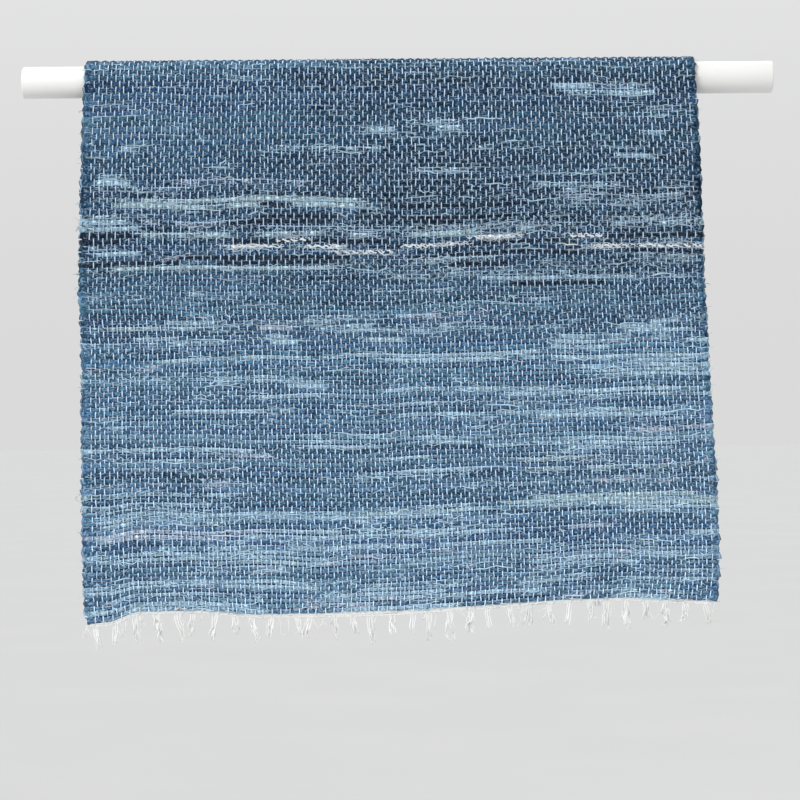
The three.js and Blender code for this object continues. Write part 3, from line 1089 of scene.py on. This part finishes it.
class Draws:
    """The seeded draws that place the solids' fringe: one 32-bit mixing step for each draw."""

    WORD = 0xFFFFFFFF
    STEP = 0x6D2B79F5

    def __init__(self, seed):
        self.seed = seed
        self.count = 0

    def between(self, least, most):
        """The next draw, between two values."""
        self.count += 1
        t = (self.seed + self.count + self.STEP) & self.WORD
        t = ((t ^ (t >> 15)) * (t | 1)) & self.WORD
        t ^= (t + (((t ^ (t >> 7)) * (t | 61)) & self.WORD)) & self.WORD
        return least + (most - least) * ((t ^ (t >> 14)) & self.WORD) / 2**32


yarn_share = np.linspace(0, 1, YARN_STEPS)
yarn_taper = np.interp(yarn_share, YARN_TAPER["share"], YARN_TAPER["width"])


def lock_yarns(side, run):
    """Paths and radii of the yarns of each lock, where the solids have its strands."""
    draws = Draws(FRINGE_SEEDS[side])
    yarns = []
    for lock in range(LOCKS):
        across = (lock + 0.5) / LOCKS
        looseness = rng.uniform(*LOCK_LOOSENESS)
        middle = cloth_points(across, run, 0)
        middle[0] += draws.between(-LOCK_JITTER, LOCK_JITTER)
        lock_length = draws.between(*LOCK_LENGTH)
        lean = draws.between(-LOCK_LEAN, LOCK_LEAN)
        sway = draws.between(-LOCK_SWAY, LOCK_SWAY)
        kink = draws.between(-STRAND_KINK, STRAND_KINK)
        for strand in range(STRANDS_PER_LOCK):
            offset = strand - (STRANDS_PER_LOCK - 1) / 2
            length = lock_length * draws.between(SHORTEST_STRAND_SHARE, 1)
            x = middle[0] + offset * STRAND_PITCH + (lean - offset * STRAND_GATHER) * yarn_share
            x = x + kink * np.sin(2 * math.pi * yarn_share)
            y = middle[1] + sway * yarn_share**2
            z = middle[2] - length * yarn_share
            for _ in range(YARNS_PER_STRAND):
                curl = wander(2, YARN_STEPS, CURL.every).T
                curl = CURL.reach * looseness * yarn_share[:, None] * curl
                path = np.stack([x + curl[:, 0], y + curl[:, 1], z], axis=-1)
                yarns.append((path, yarn_taper * rng.uniform(*YARN_RADIUS)))
    return yarns


def wisp_yarns(run):
    """Paths and radii of thin loose ends between the locks, more of them toward the left."""
    yarns = []
    for _ in range(WISPS):
        root = cloth_points(rng.uniform(0, 1) ** WISP_CROWDING, run, 0)
        fall = np.array([rng.normal(0, WISP_LEAN), 0, -rng.uniform(*WISP_LENGTH)])
        curl = CURL.reach * yarn_share[:, None] * wander(3, YARN_STEPS, CURL.every).T
        yarns.append((root + fall * yarn_share[:, None] + curl, yarn_taper * WISP_RADIUS))
    return yarns


def hem_threads(side):
    """Paths and radii of threads that lie along the hem, over its heading."""
    yarns = []
    for _ in range(HEM_THREADS):
        length = rng.uniform(*HEM_THREAD_LENGTH)
        x = rng.uniform(0, CLOTH_WIDTH - length) + length * yarn_share
        away = rng.uniform(*HEM_THREAD_SPREAD) + curve(YARN_STEPS, HEM_THREAD_WAVE)
        lift = curve(YARN_STEPS, HEM_THREAD_LIFT)
        path = cloth_points(x / CLOTH_WIDTH, beyond_hem(side, away), lift)
        yarns.append((path, yarn_taper * HEM_THREAD_RADIUS))
    return yarns


def make_fringe(side):
    """The fringe below a hem: wavy locks that thin out at their tips, wisps and hem threads."""
    run = beyond_hem(side, HEADING_GAP + STRAND_ROOT_DEPTH)
    yarns = lock_yarns(side, run) + wisp_yarns(run) + hem_threads(side)
    paths, radii = zip(*yarns)
    name = f"fringe_yarns_{SIDE_NAMES[side]}"
    return add_yarns(name, paths, radii, YARN_SIDES, YARN_REFERENCE)


# Loose threads


def place_frays():
    """The pick, left end, length and nearest warp of each loose thread, most of them on streaks."""
    pick = rng.integers(0, PICKS, FRAYS * FRAY_TRIES)
    shortest, longest = FRAY_LENGTH
    length = shortest + (longest - shortest) * rng.uniform(0, 1, len(pick)) ** FRAY_SHORTNESS
    left = rng.uniform(-FRAY_STICK_OUT, CLOTH_WIDTH - length + FRAY_STICK_OUT)
    warp = np.searchsorted(warp_x[:-1], left + length / 2)
    scatter = by_drop(FRAY_SCATTER, "share", pick_runs)
    weight = scatter[pick] * (1 - navy[pick, warp]) + turned[pick, warp]
    weight += FRAY_EDGE * ((left < 0) | (left + length > CLOTH_WIDTH))
    kept = rng.choice(len(pick), FRAYS, replace=False, p=weight / weight.sum())
    return pick[kept], left[kept], length[kept], warp[kept]


def make_frays():
    """Loose threads of the strips' raw edges, lying along the picks on the outer face."""
    pick, left, length, warp = place_frays()
    share = np.linspace(0, 1, FRAY_STEPS)
    x = left[:, None] + length[:, None] * share
    shoulder = rng.choice([-FRAY_SHOULDER, FRAY_SHOULDER], FRAYS) * pick_halves[pick]
    slant = FRAY_SLANT * rng.normal(0, 1, (FRAYS, 1)) * (share - 0.5)
    reach = by_drop(FRAY_WAVE, "reach", pick_runs[pick])
    wave = reach[:, None] * wander(FRAYS, FRAY_STEPS, FRAY_WAVE_EVERY)
    sag = np.stack([np.interp(row, warp_x, wobble[p]) for row, p in zip(x, pick)])
    run = pick_runs[pick, None] + shoulder[:, None] + slant + wave + sag
    run = np.clip(run, 0, CLOTH_RUN)
    sunk = (2 * share - 1) ** 2
    lift = FRAY_LIFT + curves(FRAYS, FRAY_STEPS, FRAY_LOOSE) - sunk
    paths = cloth_points(x / CLOTH_WIDTH, run, lift)
    lumps = 1 + curves(FRAYS, FRAY_STEPS, FRAY_LUMPS)
    radii = rng.uniform(*FRAY_RADIUS, (FRAYS, 1)) * lumps * (1 - FRAY_TAPER * sunk**2)
    rings, lay = sweep(paths, radii, FRAY_SIDES, FRAY_REFERENCE)
    color = np.maximum(reverse[pick, warp], linear(FRAY_TINT))
    uneven = 1 + FRAY_UNEVENNESS * rng.uniform(-1, 1, (FRAYS, 1))
    bright = by_drop(PALLOR, "share", run) * uneven
    tint = np.broadcast_to((color[:, None] * bright[:, :, None])[:, :, None], rings.shape)
    return add_tubes("frayed_threads", rings, YARN, {"lay": lay, "tint": tint})


def winding_stretch(pick, left, right, track):
    """The path and radii of a thread that winds about one pick, on one side of its middle."""
    share = np.linspace(0, 1, WINDING_STEPS)
    x = left + (right - left) * share
    sag = np.interp(x, warp_x, wobble[pick])
    period = 2 * (warp_x[1] - warp_x[0])
    phase = 2 * math.pi * x / period + curve(WINDING_STEPS, WINDING_LAG)
    drift = curve(WINDING_STEPS, WINDING_DRIFT)
    wind = rng.uniform(*WINDING_DEPTH) * np.sin(phase)
    run = pick_runs[pick] + sag + track + drift + wind
    lift = WINDING_LIFT - WINDING_DIP * (1 + np.cos(phase)) / 2
    taper = 1 - WINDING_TAPER * (2 * share - 1) ** WINDING_TAPER_POWER
    return cloth_points(x / CLOTH_WIDTH, run, lift), rng.uniform(*WINDING_RADIUS) * taper


def make_winding_threads():
    """Cream threads that wind over and under the warps along each cream streak."""
    threads = []
    for streak in STREAKS:
        if streak.tint != "cream":
            continue
        drop = (streak.top + streak.bottom) / 2
        middle = FRONT_RUN - drop * FRONT_RUN / streak_hem(streak)
        pick = np.abs(pick_runs - middle).argmin()
        stretches = math.ceil((streak.right - streak.left) / WINDING_STRETCH)
        ends = np.linspace(streak.left, streak.right, stretches + 1) + CLOTH_WIDTH / 2
        for left, right in zip(ends[:-1], np.minimum(ends[1:], CLOTH_WIDTH)):
            for track in WINDING_TRACKS:
                threads.append(winding_stretch(pick, left, right, track))
    paths, radii = zip(*threads)
    look = {"color": TINTS["cream"], "slot": "denim_weave"}
    return add_yarns("winding_threads", paths, radii, YARN_SIDES, FRAY_REFERENCE, **look)


# Pole


def make_pole():
    """A smooth round bar with softened ends."""
    arc = np.linspace(0, math.pi / 2, POLE_BEVEL_RINGS)
    straight = POLE_HALF_LENGTH - POLE_BEVEL
    bevel_radius = POLE_RADIUS - POLE_BEVEL + POLE_BEVEL * np.sin(arc)
    bevel_x = straight + POLE_BEVEL * np.cos(arc)
    rows = np.linspace(-straight, straight, POLE_ROWS)[1:-1]
    x = np.concatenate([-bevel_x, rows, bevel_x[::-1]])
    radius = np.concatenate([bevel_radius, np.full(len(rows), POLE_RADIUS), bevel_radius[::-1]])
    angle = 2 * math.pi * np.arange(POLE_SIDES) / POLE_SIDES
    ring = np.stack([np.zeros(POLE_SIDES), np.cos(angle), np.sin(angle)], axis=-1)
    points = ring[None] * radius[:, None, None] + np.array([1, 0, 0]) * x[:, None, None]
    number = np.arange(len(x) * POLE_SIDES).reshape(len(x), POLE_SIDES)
    faces = quads_between(number) + [number[0, ::-1].tolist(), number[-1].tolist()]
    return add_piece("painted_pole", points, faces, PAINT)


shade_sheet = make_shade_sheet()
strips = make_picks()
warps = make_warps()
headings = [make_heading(side) for side in (FRONT, BACK)]
fringes = [make_fringe(side) for side in (FRONT, BACK)]
frays = [make_frays(), make_winding_threads()]
pole = make_pole()
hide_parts("rug_cloth")
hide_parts("fringe_front")
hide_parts("fringe_back")
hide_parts("pole")


# Stage


def make_floor():
    """A wide round floor, far below the rug."""
    mesh = bpy.data.meshes.new("floor")
    angle = np.linspace(0, 2 * math.pi, FLOOR_SIDES, endpoint=False)
    rim = np.stack([np.cos(angle), np.sin(angle), np.zeros(FLOOR_SIDES)], axis=-1) * FLOOR_RADIUS
    mesh.from_pydata((rim + (0, 0, FLOOR_Z)) * MM, [], [list(range(FLOOR_SIDES))])
    look = cloudy_material("pale_floor", FLOOR_CLOUD, FLOOR_TINTS, FLOOR_SURFACE)
    mesh.materials.append(look)
    floor = bpy.data.objects.new("floor", mesh)
    bpy.context.scene.collection.objects.link(floor)


def add_light(light):
    """A round soft light that looks at the middle of the rug."""
    data = bpy.data.lights.new(light.name, "AREA")
    data.shape = "DISK"
    data.size = light.size
    data.energy = light.power
    data.spread = LIGHT_SPREAD
    lamp = bpy.data.objects.new(light.name, data)
    direction = Vector(LIGHT_AIM) - Vector(light.place)
    turn = direction.to_track_quat("-Z", "Y").to_matrix().to_4x4()
    lamp.matrix_world = Matrix.Translation(light.place) @ turn
    bpy.context.scene.collection.objects.link(lamp)


def make_sky():
    """A plain grey surround, paler upward."""
    world = bpy.data.worlds.new("studio")
    world.use_nodes = True
    tree = world.node_tree
    height = parts(tree, add_node(tree, "TexCoord").outputs["Generated"])[2]
    sky = mix(tree, remap(tree, height, SKY_RANGE), SKY_HORIZON, SKY_TOP)
    tree.links.new(sky, tree.nodes["Background"].inputs[0])
    bpy.context.scene.world = world


def place_camera():
    """Level with the middle of the picture, face on to the rug, with the picture's slight roll."""
    data = bpy.data.cameras.new("camera")
    data.sensor_width = SENSOR
    data.lens = SENSOR * CAMERA_DISTANCE * PIXELS_PER_MM / PICTURE_SIDE
    camera = bpy.data.objects.new("camera", data)
    front = FOLD_RADIUS + CLOTH_THICKNESS / 2
    height = (AXIS_PIXEL_Y - PICTURE_SIDE / 2) / PIXELS_PER_MM
    place = Matrix.Translation((0, -(CAMERA_DISTANCE + front) * MM, height * MM))
    level = Matrix.Rotation(math.pi / 2, 4, "X")
    camera.matrix_world = place @ level @ Matrix.Rotation(-CAMERA_ROLL, 4, "Z")
    bpy.context.scene.collection.objects.link(camera)
    bpy.context.scene.camera = camera


make_floor()
make_sky()
for stage_light in LIGHTS:
    add_light(stage_light)
place_camera()
bpy.context.scene.view_settings.view_transform = "Standard"

bpy.context.view_layer.update()
